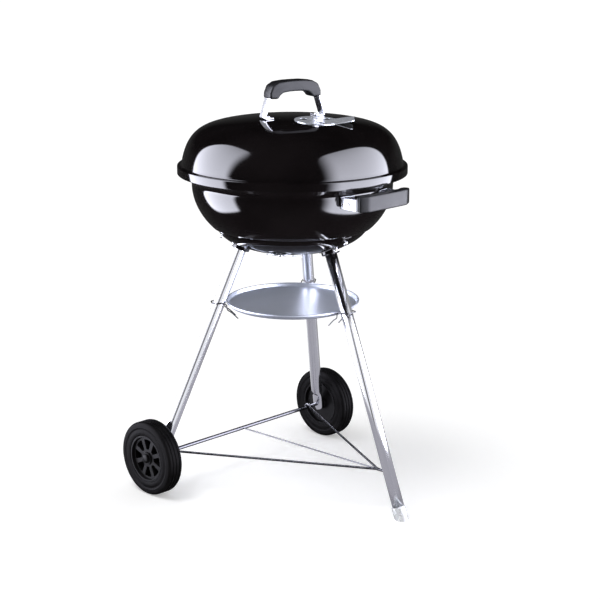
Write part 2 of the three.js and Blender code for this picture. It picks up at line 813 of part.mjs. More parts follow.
// The part's origin is on the floor, in the middle of its footprint.
const box = new THREE.Box3().setFromObject(grill, true);
grill.position.x = -(box.min.x + box.max.x) / 2;

export default grill;
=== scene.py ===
import math

import bmesh
import bpy
from mathutils import Matrix, Vector


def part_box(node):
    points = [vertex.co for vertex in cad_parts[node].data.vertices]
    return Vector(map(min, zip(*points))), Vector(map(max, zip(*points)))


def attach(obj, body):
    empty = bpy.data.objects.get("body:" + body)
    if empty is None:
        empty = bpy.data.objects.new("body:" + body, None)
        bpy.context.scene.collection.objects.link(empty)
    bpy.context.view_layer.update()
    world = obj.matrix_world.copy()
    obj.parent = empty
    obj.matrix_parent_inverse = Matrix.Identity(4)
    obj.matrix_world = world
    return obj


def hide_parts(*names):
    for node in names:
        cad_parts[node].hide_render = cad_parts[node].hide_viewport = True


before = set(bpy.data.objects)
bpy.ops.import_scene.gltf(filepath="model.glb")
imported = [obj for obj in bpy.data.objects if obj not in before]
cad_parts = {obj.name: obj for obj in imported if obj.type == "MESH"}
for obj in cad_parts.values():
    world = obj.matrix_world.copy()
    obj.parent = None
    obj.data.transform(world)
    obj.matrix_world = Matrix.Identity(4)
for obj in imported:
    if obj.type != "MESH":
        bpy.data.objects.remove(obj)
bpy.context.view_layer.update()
scene = bpy.context.scene
print("frame loaded")

# Pieces are shaped in millimetres round the kettle's upright axis, then brought into the frame.
lidLow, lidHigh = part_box("lid_shell")
kettleX = (lidLow.x + lidHigh.x) / 2
toFrame = Matrix.Translation((kettleX, 0, 0)) @ Matrix.Scale(0.001, 4)
upAxis = Vector((0, 0, 1))
legNames = ["front", "right", "left"]
legTurns = [0, 120, -120]
sides = {"right": 1, "left": -1}


# The camera stands in millimetres round the kettle's axis, and its angles are in degrees.
camera = {"place": (2234.9, -2207.8, 1225.0), "heading": 45.065, "pitch": 14.648, "lens": 92.18}


def makeCamera():
    data = bpy.data.cameras.new("camera")
    data.lens = camera["lens"]
    data.sensor_width = 36
    data.clip_end = 80
    eye = bpy.data.objects.new("camera", data)
    eye.location = toFrame @ Vector(camera["place"])
    eye.rotation_euler = (math.radians(90 - camera["pitch"]), 0, math.radians(camera["heading"]))
    scene.collection.objects.link(eye)
    scene.camera = eye
    scene.view_settings.view_transform = "Standard"


def lookDirection(turn, height=0):
    # Turn 0 points from the kettle towards the camera, and a positive turn goes to the camera's right.
    heading = math.radians(camera["heading"] - 90 + turn)
    level = math.radians(height)
    return Vector((math.cos(heading) * math.cos(level), math.sin(heading) * math.cos(level), math.sin(level)))


def nodesFor(owner):
    owner.use_nodes = True
    owner.node_tree.nodes.clear()
    return owner.node_tree


def wire(tree, kind, inputs=(), **settings):
    # Adds a node, sets its properties, and sets or links its inputs by name or number.
    node = tree.nodes.new(kind)
    for key, value in settings.items():
        setattr(node, key, value)
    for key, value in dict(inputs).items():
        if isinstance(value, bpy.types.NodeSocket):
            tree.links.new(value, node.inputs[key])
        else:
            node.inputs[key].default_value = value
    return node


def mixColors(tree, mask, dark, light):
    mix = tree.nodes.new("ShaderNodeMix")
    mix.data_type = "RGBA"
    tree.links.new(mask, mix.inputs[0])
    mix.inputs[6].default_value = (*dark, 1)
    mix.inputs[7].default_value = (*light, 1)
    return mix.outputs[2]


def glowing(tree, inputs):
    # A glow that lets what stands behind it through.
    glow = wire(tree, "ShaderNodeEmission", inputs)
    clear = wire(tree, "ShaderNodeBsdfTransparent")
    both = wire(tree, "ShaderNodeAddShader", {0: glow.outputs[0], 1: clear.outputs[0]})
    wire(tree, "ShaderNodeOutputMaterial", {"Surface": both.outputs[0]})


def makeStage(name, piece, surface, hiddenFrom):
    # Stands a piece of the studio up, and hides it from some kinds of ray.
    mesh = bpy.data.meshes.new(name)
    piece.to_mesh(mesh)
    piece.free()
    mesh.materials.append(surface)
    made = bpy.data.objects.new(name, mesh)
    for kind in hiddenFrom:
        setattr(made, "visible_" + kind, False)
    scene.collection.objects.link(made)
    return made


studio = {
    "backdrop": 1.0,  # what the camera sees past the floor
    "fill": 0.55,  # what lights matt surfaces
    "gloss": 0.002,  # what polished surfaces mirror, apart from the lights
    "rim": 0.05,  # the low strip far behind the grill
    "tint": (0.87, 0.88, 1, 1),  # the cards' light
    "cards": [  # inner is the side nearer the camera, which fades
        {"name": "cardLeft", "turn": -83, "away": 1.5, "width": 1.96, "low": -0.42, "high": 2.75, "inner": -1,
         "reach": 0.6, "strength": 13.5},
        {"name": "cardRight", "turn": 68, "away": 1.5, "width": 2.72, "low": -0.55, "high": 2.6, "inner": 1,
         "reach": 0.85, "strength": 13.5},
    ],
    "roomRadius": 9,
    "roomHeight": 0.4,
    # What bare metal mirrors round it, as turns from the camera and brightness there.
    "bands": [(-180, 0.3), (-160, 0.3), (-150, 0.95), (-34, 1.0), (-26, 0.1), (-12, 0.1), (-4, 0.95),
              (104, 0.95), (118, 0.3), (180, 0.3)],
    "ground": 0.4,  # what bare metal mirrors from below
    "floor": {"radius": 45, "color": (0.86, 0.86, 0.865, 1), "glow": 0.35},
    "sun": {"turn": -55, "height": 68, "strength": 1.05, "spread": 30},
}


def makeWorld():
    world = bpy.data.worlds.new("studio")
    scene.world = world
    tree = nodesFor(world)
    way = wire(tree, "ShaderNodeTexCoord").outputs["Generated"]
    behind = wire(tree, "ShaderNodeVectorMath", {0: way, 1: lookDirection(180)}, operation="DOT_PRODUCT")
    height = wire(tree, "ShaderNodeSeparateXYZ", {0: way})
    low = wire(tree, "ShaderNodeMapRange", {
        "Value": height.outputs["Z"], "From Min": 0.24, "From Max": 0.06, "To Min": 0, "To Max": 1})
    facing = wire(tree, "ShaderNodeMapRange", {
        "Value": behind.outputs["Value"], "From Min": 0.2, "From Max": 0.8, "To Min": 0, "To Max": 1})
    strip = wire(tree, "ShaderNodeMath", {0: low.outputs[0], 1: facing.outputs[0]}, operation="MULTIPLY")
    gloss = wire(tree, "ShaderNodeMapRange", {
        "Value": strip.outputs[0], "To Min": studio["gloss"], "To Max": studio["rim"]})
    light = wire(tree, "ShaderNodeLightPath")
    seen = wire(tree, "ShaderNodeMix", {
        "Factor": light.outputs["Is Camera Ray"], "A": studio["fill"], "B": studio["backdrop"]})
    level = wire(tree, "ShaderNodeMix", {
        "Factor": light.outputs["Is Glossy Ray"], "A": seen.outputs[0], "B": gloss.outputs[0]})
    glow = wire(tree, "ShaderNodeBackground", {"Color": (1, 1, 1, 1), "Strength": level.outputs[0]})
    wire(tree, "ShaderNodeOutputWorld", {"Surface": glow.outputs[0]})


def makeCard(card):
    # A tall soft box with a rounded top that fades at its edges.
    piece = bmesh.new()
    bmesh.ops.create_grid(piece, x_segments=1, y_segments=1, size=1)
    middle = (card["low"] + card["high"]) / 2
    turn = lookDirection(card["turn"])
    stand = Matrix.Translation(turn * card["away"] + Vector((kettleX, 0, middle)))
    shape = Matrix.Diagonal((card["width"] / 2, (card["high"] - card["low"]) / 2, 1, 1))
    bmesh.ops.transform(piece, matrix=stand @ (-turn).to_track_quat("Z", "Y").to_matrix().to_4x4() @ shape,
                        verts=piece.verts)
    uv = piece.loops.layers.uv.new("card")
    for face in piece.faces:
        for loop, corner in zip(face.loops, ((-1, -1), (1, -1), (1, 1), (-1, 1))):
            loop[uv].uv = corner
    surface = bpy.data.materials.new(card["name"])
    tree = nodesFor(surface)
    place = wire(tree, "ShaderNodeSeparateXYZ", {0: wire(tree, "ShaderNodeUVMap", uv_map="card").outputs[0]})
    quartic = [wire(tree, "ShaderNodeMath", {0: place.outputs[axis], 1: 4}, operation="POWER") for axis in "XY"]
    bothWays = wire(tree, "ShaderNodeMath", {0: quartic[0].outputs[0], 1: quartic[1].outputs[0]})
    edge = wire(tree, "ShaderNodeMapRange", {"Value": bothWays.outputs[0], "From Min": 1, "From Max": 0.72})
    inward = wire(tree, "ShaderNodeMath", {0: place.outputs["X"], 1: card["inner"]}, operation="MULTIPLY")
    reach = wire(tree, "ShaderNodeMapRange", {
        "Value": place.outputs["Y"], "From Min": -0.3, "From Max": 0.5, "To Min": card["reach"], "To Max": 1})
    fade = wire(tree, "ShaderNodeMapRange", {
        "Value": inward.outputs[0], "From Min": reach.outputs[0], "From Max": 0.4},
        interpolation_type="SMOOTHSTEP")
    tall = wire(tree, "ShaderNodeMapRange", {
        "Value": place.outputs["Y"], "From Min": -0.35, "From Max": 1, "To Min": card["strength"],
        "To Max": 0.4 * card["strength"]})
    shaped = wire(tree, "ShaderNodeMath", {0: edge.outputs[0], 1: fade.outputs[0]}, operation="MULTIPLY")
    power = wire(tree, "ShaderNodeMath", {0: shaped.outputs[0], 1: tall.outputs[0]}, operation="MULTIPLY")
    glowing(tree, {"Color": studio["tint"], "Strength": power.outputs[0]})
    makeStage(card["name"], piece, surface, ["camera", "diffuse", "shadow"])


def makeMetalRoom(receivers):
    # A wide glowing shell that only bare metal mirrors.
    middle = Vector((kettleX, 0, studio["roomHeight"]))
    piece = bmesh.new()
    bmesh.ops.create_icosphere(piece, subdivisions=3, radius=studio["roomRadius"],
                               matrix=Matrix.Translation(middle))
    surface = bpy.data.materials.new("metalRoom")
    tree = nodesFor(surface)
    spot = wire(tree, "ShaderNodeVectorMath", {
        0: wire(tree, "ShaderNodeTexCoord").outputs["Object"], 1: middle}, operation="SUBTRACT")
    way = wire(tree, "ShaderNodeVectorMath", {0: spot.outputs[0]}, operation="NORMALIZE").outputs[0]
    ahead = wire(tree, "ShaderNodeVectorMath", {0: way, 1: lookDirection(0)}, operation="DOT_PRODUCT")
    right = wire(tree, "ShaderNodeVectorMath", {0: way, 1: lookDirection(90)}, operation="DOT_PRODUCT")
    turn = wire(tree, "ShaderNodeMath", {0: right.outputs["Value"], 1: ahead.outputs["Value"]},
                operation="ARCTAN2")
    share = wire(tree, "ShaderNodeMapRange", {
        "Value": turn.outputs[0], "From Min": -math.pi, "From Max": math.pi})
    ramp = wire(tree, "ShaderNodeValToRGB", {"Fac": share.outputs[0]})
    stops = ramp.color_ramp.elements
    for number, (degrees, level) in enumerate(studio["bands"]):
        place = (degrees + 180) / 360
        stop = stops[number] if number < 2 else stops.new(place)
        stop.position = place
        stop.color = (level, level, level * 1.03, 1)
    height = wire(tree, "ShaderNodeSeparateXYZ", {0: way})
    low = wire(tree, "ShaderNodeMapRange", {
        "Value": height.outputs["Z"], "From Min": -0.38, "From Max": -0.55}, interpolation_type="SMOOTHSTEP")
    ground = studio["ground"]
    color = mixColors(tree, low.outputs[0], (1, 1, 1), (ground * 0.97, ground * 0.95, ground * 1.05))
    tree.links.new(ramp.outputs[0], color.node.inputs[6])
    glowing(tree, {"Color": color})
    room = makeStage("metalRoom", piece, surface, ["camera", "diffuse", "shadow"])
    room.light_linking.receiver_collection = receivers


def makeSun(turn, height, strength, spread):
    data = bpy.data.lights.new("keyLight", "SUN")
    data.angle = math.radians(spread)
    data.energy = strength
    lamp = bpy.data.objects.new("keyLight", data)
    lamp.rotation_euler = lookDirection(turn, height).to_track_quat("Z", "Y").to_euler()
    lamp.visible_glossy = False
    scene.collection.objects.link(lamp)


def makeFloor():
    look = studio["floor"]
    piece = bmesh.new()
    bmesh.ops.create_circle(piece, cap_ends=True, segments=64, radius=look["radius"])
    surface = bpy.data.materials.new("paleFloor")
    tree = nodesFor(surface)
    matt = wire(tree, "ShaderNodeBsdfDiffuse", {"Color": look["color"]})
    glow = wire(tree, "ShaderNodeEmission", {"Color": (1, 1, 1, 1), "Strength": look["glow"]})
    both = wire(tree, "ShaderNodeAddShader", {0: matt.outputs[0], 1: glow.outputs[0]})
    wire(tree, "ShaderNodeOutputMaterial", {"Surface": both.outputs[0]})
    makeStage("floor", piece, surface, ["glossy", "shadow"])


makeCamera()
makeWorld()
for card in studio["cards"]:
    makeCard(card)
makeFloor()
makeSun(**studio["sun"])
bareMetal = bpy.data.collections.new("bareMetal")
scene.collection.children.link(bareMetal)
makeMetalRoom(bareMetal)
print("studio ready")


def makeGroup(name, inputs, outputs):
    group = bpy.data.node_groups.new(name, "ShaderNodeTree")
    for key, kind, value in inputs:
        socket = group.interface.new_socket(key, in_out="INPUT", socket_type=kind)
        socket.default_value = value
    for key, kind in outputs:
        group.interface.new_socket(key, in_out="OUTPUT", socket_type=kind)
    start = group.nodes.new("NodeGroupInput").outputs
    end = group.nodes.new("NodeGroupOutput").inputs
    return group, start, end


def makeSmudge():
    # Slow change of roughness and tone, as handling and polish leave it.
    group, start, end = makeGroup("smudge", [
        ("Size", "NodeSocketFloat", 12), ("Low", "NodeSocketFloat", 0.1), ("High", "NodeSocketFloat", 0.2)],
        [("Roughness", "NodeSocketFloat"), ("Mask", "NodeSocketFloat")])
    place = wire(group, "ShaderNodeTexCoord").outputs["Object"]
    cloud = wire(group, "ShaderNodeTexNoise", {"Vector": place, "Scale": start["Size"], "Detail": 4})
    mask = wire(group, "ShaderNodeMapRange", {
        "Value": cloud.outputs["Fac"], "From Min": 0.35, "From Max": 0.65})
    level = wire(group, "ShaderNodeMapRange", {
        "Value": mask.outputs[0], "To Min": start["Low"], "To Max": start["High"]})
    group.links.new(level.outputs[0], end["Roughness"])
    group.links.new(mask.outputs[0], end["Mask"])
    return group


def makeGrain():
    # Fine bumps: orange peel in enamel at a low size, moulded grain in plastic at a high one.
    group, start, end = makeGroup("grain", [
        ("Size", "NodeSocketFloat", 400), ("Strength", "NodeSocketFloat", 0.1),
        ("Depth", "NodeSocketFloat", 0.0002)],
        [("Normal", "NodeSocketVector"), ("Mask", "NodeSocketFloat")])
    place = wire(group, "ShaderNodeTexCoord").outputs["Object"]
    speck = wire(group, "ShaderNodeTexNoise", {"Vector": place, "Scale": start["Size"], "Detail": 2})
    bump = wire(group, "ShaderNodeBump", {
        "Height": speck.outputs["Fac"], "Strength": start["Strength"], "Distance": start["Depth"]})
    group.links.new(bump.outputs["Normal"], end["Normal"])
    group.links.new(speck.outputs["Fac"], end["Mask"])
    return group


def makeDrawn():
    # Fine lines along one direction, as drawing and brushing leave them on metal.
    group, start, end = makeGroup("drawn", [
        ("Vector", "NodeSocketVector", (0, 0, 0)), ("Low", "NodeSocketFloat", 0.1),
        ("High", "NodeSocketFloat", 0.2), ("Strength", "NodeSocketFloat", 0.1)],
        [("Roughness", "NodeSocketFloat"), ("Normal", "NodeSocketVector"), ("Mask", "NodeSocketFloat")])
    lines = wire(group, "ShaderNodeTexNoise", {"Vector": start["Vector"], "Scale": 1, "Detail": 3})
    level = wire(group, "ShaderNodeMapRange", {
        "Value": lines.outputs["Fac"], "From Min": 0.3, "From Max": 0.7,
        "To Min": start["Low"], "To Max": start["High"]})
    bump = wire(group, "ShaderNodeBump", {
        "Height": lines.outputs["Fac"], "Strength": start["Strength"], "Distance": 0.0001})
    group.links.new(level.outputs[0], end["Roughness"])
    group.links.new(bump.outputs["Normal"], end["Normal"])
    group.links.new(lines.outputs["Fac"], end["Mask"])
    return group


smudge = makeSmudge()
grain = makeGrain()
drawn = makeDrawn()


def makeMaterial(name, color, inputs=()):
    material = bpy.data.materials.new(name)
    material.diffuse_color = (*color, 1)
    tree = nodesFor(material)
    shader = wire(tree, "ShaderNodeBsdfPrincipled", {"Base Color": (*color, 1), **dict(inputs)})
    wire(tree, "ShaderNodeOutputMaterial", {"Surface": shader.outputs[0]})
    return material, tree, shader


def dress(tree, shader, surface, bumps, dark, light):
    # Gives the shader the roughness and tone of one group and the bumps of the same or another.
    tree.links.new(surface.outputs["Roughness"], shader.inputs["Roughness"])
    tree.links.new(bumps.outputs["Normal"], shader.inputs["Normal"])
    tree.links.new(mixColors(tree, surface.outputs["Mask"], dark, light), shader.inputs["Base Color"])


def smudged(tree, size, low, high):
    return wire(tree, "ShaderNodeGroup", {"Size": size, "Low": low, "High": high}, node_tree=smudge)


def grained(tree, size, strength):
    return wire(tree, "ShaderNodeGroup", {"Size": size, "Strength": strength, "Depth": 0.0002},
                node_tree=grain)


def makeEnamel(name, color, dark, light):
    material, tree, shader = makeMaterial(name, color, {"IOR": 1.5})
    dress(tree, shader, smudged(tree, 9, 0.05, 0.085), grained(tree, 160, 0.05), dark, light)
    return material


def makePlastic(name, dark, light, low, high, level):
    material, tree, shader = makeMaterial(name, dark, {"IOR": 1.5, "Specular IOR Level": level})
    dress(tree, shader, smudged(tree, 30, low, high), grained(tree, 900, 0.35), dark, light)
    return material


def makeMetal(name, dark, light, low, high, stretch, turn=None, strength=0.15):
    # The stretch squeezes the pattern across the way in which the metal was drawn.
    material, tree, shader = makeMaterial(name, light, {"Metallic": 1})
    place = wire(tree, "ShaderNodeTexCoord").outputs["Object"]
    if turn:
        along = wire(tree, "ShaderNodeMapping", {
            "Vector": place, "Rotation": turn, "Scale": tuple(1 / each for each in stretch)},
            vector_type="TEXTURE")
    else:
        along = wire(tree, "ShaderNodeMapping", {"Vector": place, "Scale": stretch})
    lines = wire(tree, "ShaderNodeGroup", {
        "Vector": along.outputs[0], "Low": low, "High": high, "Strength": strength}, node_tree=drawn)
    dress(tree, shader, lines, lines, dark, light)
    return material


def makeSpun(name, dark, light, low, high, middle, pitch=700):
    # Rings round an upright axis, as spinning leaves them.
    material, tree, shader = makeMaterial(name, light, {"Metallic": 1})
    place = wire(tree, "ShaderNodeTexCoord").outputs["Object"]
    centred = wire(tree, "ShaderNodeMapping", {"Vector": place, "Location": tuple(-each for each in middle)})
    flat = wire(tree, "ShaderNodeVectorMath", {0: centred.outputs[0], 1: (1, 1, 0)}, operation="MULTIPLY")
    radius = wire(tree, "ShaderNodeVectorMath", {0: flat.outputs[0]}, operation="LENGTH")
    ring = wire(tree, "ShaderNodeMath", {0: radius.outputs["Value"], 1: pitch}, operation="MULTIPLY")
    vector = wire(tree, "ShaderNodeCombineXYZ", {"X": ring.outputs[0]})
    lines = wire(tree, "ShaderNodeGroup", {
        "Vector": vector.outputs[0], "Low": low, "High": high, "Strength": 0.12}, node_tree=drawn)
    dress(tree, shader, lines, lines, dark, light)
    return material


def makeClear(name, color, dark, light):
    material, tree, shader = makeMaterial(name, color, {"IOR": 1.46, "Transmission Weight": 0.55})
    dress(tree, shader, smudged(tree, 60, 0.18, 0.32), grained(tree, 500, 0.1), dark, light)
    return material


# A finish has a darker and a lighter tone, and a plastic or metal then has its lowest and highest roughness.
enamel = makeEnamel("blackEnamel", (0.006, 0.005, 0.0055), (0.0045, 0.0036, 0.004), (0.0075, 0.006, 0.0066))
nylon = makePlastic("greyNylon", (0.010, 0.010, 0.012), (0.016, 0.016, 0.019), 0.3, 0.42, level=0.2)
wheelBlack = [(0.004, 0.0036, 0.004), (0.007, 0.0065, 0.007)]
tyrePlastic = makePlastic("tyrePlastic", *wheelBlack, 0.42, 0.55, level=0.02)
hubPlastic = makePlastic("hubPlastic", *wheelBlack, 0.3, 0.42, level=0.05)
chrome = makeMetal("chrome", (0.78, 0.79, 0.82), (0.86, 0.87, 0.9), 0.05, 0.1, (60, 60, 60), strength=0.05)
strapMetal = makeMetal("strapMetal", (0.5, 0.51, 0.56), (0.62, 0.63, 0.69), 0.14, 0.24, (900, 900, 40))
damperMetal = makeMetal("damperMetal", (0.52, 0.55, 0.6), (0.66, 0.69, 0.74), 0.24, 0.34, (40, 900, 40))
# The axle is chrome but coloured near black: painted shade for its place under the bowl.
shadedAxleChrome = makeMetal("shadedAxleChrome", (0.06, 0.06, 0.065), (0.1, 0.1, 0.11), 0.12, 0.2, (60, 900, 60),
                       strength=0.05)
wireMetal = makeMetal("wireMetal", (0.07, 0.07, 0.075), (0.12, 0.12, 0.13), 0.2, 0.32, (300, 300, 300))
grateMetal = makeMetal("grateMetal", (0.5, 0.51, 0.53), (0.64, 0.65, 0.67), 0.16, 0.28, (300, 300, 300))
# The tray's metal is coloured a dull blue-grey, darker than bare aluminium: painted shade from the bowl above it.
trayMetal = makeSpun("trayMetal", (0.36, 0.385, 0.44), (0.44, 0.465, 0.52), 0.36, 0.46, (kettleX, 0, 0))
clearPlastic = makeClear("clearPlastic", (0.9, 0.91, 0.92), (0.84, 0.85, 0.86), (0.93, 0.94, 0.95))
shiny = [chrome, strapMetal, damperMetal, grateMetal, trayMetal]  # these mirror the metal room
print("materials ready")


def arc(middle, radius, start, end, steps):
    # Points round part of a circle, angles in degrees.
    turns = [math.radians(start + (end - start) * step / steps) for step in range(steps + 1)]
    return [(middle[0] + radius * math.cos(turn), middle[1] + radius * math.sin(turn)) for turn in turns]


def spun(outline, steps=192, closed=False):
    # Turns an outline of (radius, height) round the upright axis.
    piece = bmesh.new()
    points = [piece.verts.new((radius, 0, height)) for radius, height in outline]
    pairs = list(zip(points, points[1:])) + ([(points[-1], points[0])] if closed else [])
    edges = [piece.edges.new(pair) for pair in pairs]
    bmesh.ops.spin(piece, geom=points + edges, cent=(0, 0, 0), axis=(0, 0, 1), angle=math.tau, steps=steps,
                   use_merge=True)
    bmesh.ops.remove_doubles(piece, verts=piece.verts, dist=0.002)
    bmesh.ops.recalc_face_normals(piece, faces=piece.faces)
    return piece


def rounded(corners, radius, steps=6):
    # Rounds the bends of a wire's or a strap's route.
    corners = [Vector(corner) for corner in corners]
    points = [corners[0]]
    for before, here, after in zip(corners, corners[1:], corners[2:]):
        reach = min(radius, (before - here).length * 0.48, (after - here).length * 0.48)
        start = here + (before - here).normalized() * reach
        end = here + (after - here).normalized() * reach
        for step in range(steps + 1):
            part = step / steps
            points.append(start.lerp(here, part).lerp(here.lerp(end, part), part))
    return points + [corners[-1]]


def stationAt(points, index, across):
    before, after = points[max(index - 1, 0)], points[min(index + 1, len(points) - 1)]
    ahead = (after - before).normalized()
    side = (across - ahead * across.dot(ahead)).normalized()
    turn = Matrix((side, ahead.cross(side), ahead)).transposed().to_4x4()
    return Matrix.Translation(points[index]) @ turn


def swept(points, section, across):
    # Draws a closed section along a route. The section's first axis stays towards across.
    piece = bmesh.new()
    stations = [stationAt(points, index, across) for index in range(len(points))]
    corners = [piece.verts.new(stations[0] @ Vector((x, y, 0))) for x, y in section]
    edges = list(piece.faces.new(corners).edges)
    for here, there in zip(stations, stations[1:]):
        made = bmesh.ops.extrude_edge_only(piece, edges=edges)["geom"]
        corners = {item for item in made if isinstance(item, bmesh.types.BMVert)}
        edges = [item for item in made
                 if isinstance(item, bmesh.types.BMEdge) and corners.issuperset(item.verts)]
        bmesh.ops.transform(piece, matrix=there @ here.inverted(), verts=list(corners))
    bmesh.ops.edgeloop_fill(piece, edges=edges)
    bmesh.ops.recalc_face_normals(piece, faces=piece.faces)
    return piece


def circle(radius, sides=14):
    return arc((0, 0), radius, 0, 360 - 360 / sides, sides - 1)


def roundedBar(width, thickness, radius):
    x, y = width / 2 - radius, thickness / 2 - radius
    return (arc((x, y), radius, 0, 90, 4) + arc((-x, y), radius, 90, 180, 4)
            + arc((-x, -y), radius, 180, 270, 4) + arc((x, -y), radius, 270, 360, 4))


def plate(outline, thickness):
    # A flat piece standing on z = 0.
    piece = bmesh.new()
    face = piece.faces.new([piece.verts.new((x, y, 0)) for x, y in outline])
    top = bmesh.ops.extrude_face_region(piece, geom=[face])["geom"]
    raised = [item for item in top if isinstance(item, bmesh.types.BMVert)]
    bmesh.ops.translate(piece, vec=(0, 0, thickness), verts=raised)
    bmesh.ops.recalc_face_normals(piece, faces=piece.faces)
    return piece


def softened(piece, width, segments=4, angle=40):
    # Rounds every edge that turns by more than an angle.
    limit = math.radians(angle)
    sharp = [edge for edge in piece.edges if edge.is_manifold and edge.calc_face_angle() > limit]
    bmesh.ops.bevel(piece, geom=sharp, offset=width, segments=segments, profile=0.5, affect="EDGES",
                    material=-1)
    return piece


def moved(piece, matrix):
    bmesh.ops.transform(piece, matrix=matrix, verts=piece.verts)
    return piece


def joined(first, *others):
    for other in others:
        mesh = bpy.data.meshes.new("part")
        other.to_mesh(mesh)
        other.free()
        first.from_mesh(mesh)
        bpy.data.meshes.remove(mesh)
    return first


def seatOn(point, way):
    # Brings a shape built on z = 0 to a point, its upward side along a direction.
    return Matrix.Translation(point) @ upAxis.rotation_difference(way).to_matrix().to_4x4()


def turnZ(degrees):
    return Matrix.Rotation(math.radians(degrees), 4, "Z")


def build(piece, name, body, material, nodes=(), sharp=35, wall=0, edge=0, holes=None):
    # Brings a shape into the frame as a finished piece.
    bmesh.ops.transform(piece, matrix=toFrame, verts=piece.verts)
    for face in piece.faces:
        face.smooth = True
    mesh = bpy.data.meshes.new(name)
    piece.to_mesh(mesh)
    piece.free()
    made = bpy.data.objects.new(name, mesh)
    scene.collection.objects.link(made)
    if holes:
        cutHoles(made, holes)
    made.data.set_sharp_from_angle(angle=math.radians(sharp))
    made.data.materials.clear()
    made.data.materials.append(material)
    if wall:
        shell = made.modifiers.new("wall", "SOLIDIFY")
        shell.thickness = wall / 1000
        shell.offset = -1
        shell.use_even_offset = True
    if edge:
        soft = made.modifiers.new("edge", "BEVEL")
        soft.width = edge / 1000
        soft.segments = 2
        soft.limit_method = "ANGLE"
        soft.angle_limit = math.radians(sharp)
        soft.harden_normals = True
    if material in shiny and not name.startswith("bowlDamper"):  # the bowl's vents stay in its shade
        bareMetal.objects.link(made)
    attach(made, body)
    if nodes:
        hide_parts(*nodes)
    return made


def cutHoles(made, holes):
    # Drills the mesh with round bits, each a (point, way, radius, depth).
    bits = bmesh.new()
    for point, way, radius, depth in holes:
        bmesh.ops.create_cone(bits, cap_ends=True, segments=40, radius1=radius, radius2=radius,
                              depth=2 * depth, matrix=seatOn(point, way))
    bmesh.ops.transform(bits, matrix=toFrame, verts=bits.verts)
    mesh = bpy.data.meshes.new("bits")
    bits.to_mesh(mesh)
    bits.free()
    tool = bpy.data.objects.new("bits", mesh)
    scene.collection.objects.link(tool)
    cut = made.modifiers.new("holes", "BOOLEAN")
    cut.operation = "DIFFERENCE"
    cut.solver = "EXACT"
    cut.object = tool
    done = bpy.data.meshes.new_from_object(made.evaluated_get(bpy.context.evaluated_depsgraph_get()))
    made.modifiers.remove(cut)
    old = made.data
    name = old.name
    made.data = done
    bpy.data.meshes.remove(old)
    done.name = name
    bpy.data.objects.remove(tool)
    bpy.data.meshes.remove(mesh)


lid = {"radius": 229.9, "base": 684.8, "height": 84.2, "rise": 24, "corner": 9.7, "root": 1.7,
       "skirt": 238, "shelf": 695.7, "hem": 678, "wall": 1.6}


def lidHeight(radius):
    share = radius / lid["radius"]
    crown = lid["rise"] * (1 - share ** 2)
    return lid["base"] + lid["height"] * max(0, 1 - share ** lid["corner"]) ** (1 / lid["root"]) + crown


def lidSeat(offset, turn):
    slope = -2 * lid["rise"] * offset / lid["radius"] ** 2
    place = turnZ(turn) @ Vector((offset, 0, lidHeight(offset)))
    return place, (turnZ(turn) @ Vector((-slope, 0, 1))).normalized()


damper = {"radius": 46, "thickness": 2, "offset": 67, "turn": 3, "tab": 45, "holes": 8, "ring": 28, "rise": 12}
ventTurns = [-30, 90, 210]


def damperHoles(seat, way):
    return [(seatOn(seat, way) @ Vector((damper["ring"] * math.cos(math.radians(turn)),
                                         damper["ring"] * math.sin(math.radians(turn)), 0)),
             way, damper["holes"], 8) for turn in ventTurns]


def makeLid():
    edge = lid["radius"] * 0.9968
    fillet, lip = 2.4, 2.2
    steps = 72
    radii = [edge * math.sin(math.pi / 2 * step / steps) for step in range(steps)]
    outline = [(radius, lidHeight(radius)) for radius in radii]
    outline = [point for point in outline if point[1] > lid["shelf"] + fillet + 0.5]
    outline += arc((edge + fillet, lid["shelf"] + fillet), fillet, 180, 270, 6)
    outline += arc((lid["skirt"] - lip, lid["shelf"] - lip), lip, 90, 0, 6)
    outline += arc((lid["skirt"] - 1.5, lid["hem"] + 1.5), 1.5, 0, -120, 6)
    point, way = lidSeat(damper["offset"], damper["turn"])
    build(spun(outline), "lidShell", "lid", enamel, ["lid_shell"], sharp=60, wall=lid["wall"],
          holes=damperHoles(point, way))


makeLid()


def makeLidDamper():
    point, way = lidSeat(damper["offset"], damper["turn"])
    radius = damper["radius"]
    fold, half = 39, 29.5
    start = math.degrees(math.asin(half / radius))
    disc = arc((0, 0), radius, start, 360 - start, 72)
    piece = bmesh.new()
    body = [piece.verts.new((x, y, 0)) for x, y in disc]
    folds = [piece.verts.new((fold, -half, 0)), piece.verts.new((fold, half, 0))]
    piece.faces.new(body + folds)
    lift = math.radians(damper["rise"])
    tip = [(27, -26), *arc((31, -19.5), 6, -75, 0, 5), *arc((31, 19.5), 6, 0, 75, 5), (27, 26)]
    tab = [piece.verts.new((fold + x * math.cos(lift), y, x * math.sin(lift))) for x, y in tip]
    piece.faces.new([folds[1], folds[0]] + tab)
    bmesh.ops.recalc_face_normals(piece, faces=piece.faces)
    bmesh.ops.solidify(piece, geom=piece.faces[:], thickness=-damper["thickness"])
    bmesh.ops.recalc_face_normals(piece, faces=piece.faces)
    moved(piece, turnZ(damper["tab"]))
    rest = 0.4
    moved(piece, seatOn(point + way * rest, way))
    build(piece, "lidDamper", "lid_damper", damperMetal, ["lid_damper"], sharp=30, edge=0.5,
          holes=damperHoles(point, way))


def fastener(radius, height, shank, depth):
    # A domed head on z = 0 with a short shank under it.
    dome = [(radius * math.sin(math.radians(a)), height * math.cos(math.radians(a))) for a in range(0, 91, 10)]
    return spun(dome + [(radius, -0.3), (shank, -0.3), (shank, -depth), (0, -depth)], 32)


def makeFastener(name, node, body, point, way, radius, height, shank=2.5, depth=8):
    build(moved(fastener(radius, height, shank, depth), seatOn(point, way)), name, body, chrome,
          [node], sharp=50)


handle = {"turn": 74.5, "foot": 70, "bolt": 57, "shoulder": 55, "width": 25, "thickness": 2.5, "top": 868.4,
          "grip": 32}


